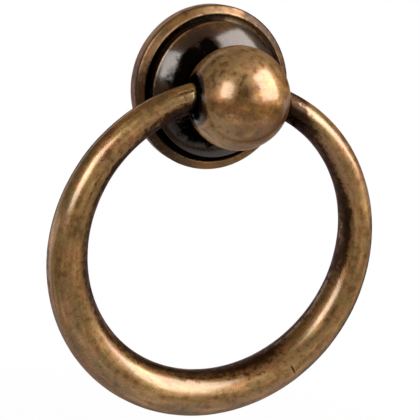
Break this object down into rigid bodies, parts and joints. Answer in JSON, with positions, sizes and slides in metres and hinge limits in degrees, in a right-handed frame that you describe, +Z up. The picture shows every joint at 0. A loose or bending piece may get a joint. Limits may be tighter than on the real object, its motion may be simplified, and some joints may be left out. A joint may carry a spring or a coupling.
{
  "type": "ring pull handle",
  "caption": "Ring pull handle for a drawer or cabinet front: round moulded rosette, turned ball post and a tapered ring that hangs from the ball and swings.",
  "frame": {"origin": "centre of the fixing hole's mouth, at the rosette's back face", "axes": "+Z up when mounted on a vertical front, +Y into the front, the ring faces -Y and its pivot lies along X"},
  "size_m": [0.0498, 0.0182, 0.0591],
  "materials": {
    "rosette_brass": "antique, brown, worn on the rim's edge and black in the groove",
    "post_brass": "antique, dark glossy foot and a brown worn ball",
    "ring_brass": "antique, brown, brightened where fingers wear it"
  },
  "bodies": {
    "base": {"rosette": "rosette_brass", "ball_post": "post_brass"},
    "ring": {"ring": "ring_brass"}
  },
  "joints": [
    {"name": "ring_swing", "type": "hinge", "parent": "base", "child": "ring", "pos_m": [0, -0.011, 0], "axis": [-1, 0, 0], "range_deg": [-10, 190]}
  ]
}
